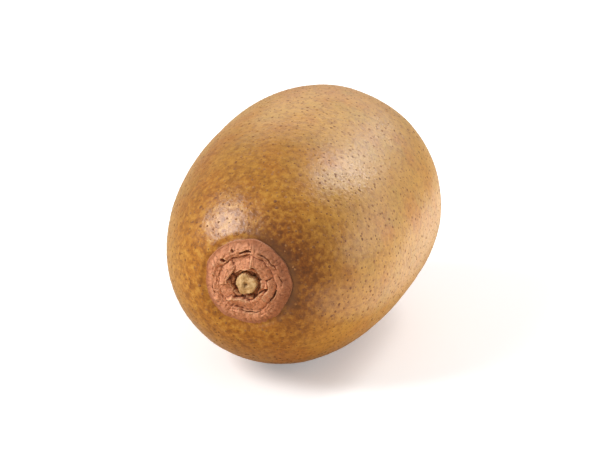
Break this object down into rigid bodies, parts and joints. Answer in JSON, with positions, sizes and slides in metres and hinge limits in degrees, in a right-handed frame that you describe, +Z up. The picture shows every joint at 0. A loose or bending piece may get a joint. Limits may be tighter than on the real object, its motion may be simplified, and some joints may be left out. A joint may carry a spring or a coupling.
{
  "type": "golden kiwi fruit",
  "caption": "Whole golden kiwi fruit lying on its side, with a corky calyx and the stub of its stalk at one end and dried styles at the other.",
  "frame": {"origin": "on the surface that the fruit lies on, under the centre of its bounding box", "axes": "+Z up; Y is the fruit's long axis, with the stem end at -Y and the blossom end at +Y; X is its width"},
  "size_m": [0.053, 0.0734, 0.0494],
  "materials": {
    "skin": "thin golden-brown fruit skin, satin, mottled, with fine dark lenticels",
    "calyx": "dry pinkish-brown cork, matte, wrinkled and cracked",
    "stub": "pale snapped stalk, dry and fibrous",
    "styles": "withered dark brown styles, dry and brittle"
  },
  "bodies": {
    "root": {"fruit": "skin", "calyx": "calyx", "stem_stub": "stub", "dried_styles": "styles"}
  },
  "joints": []
}
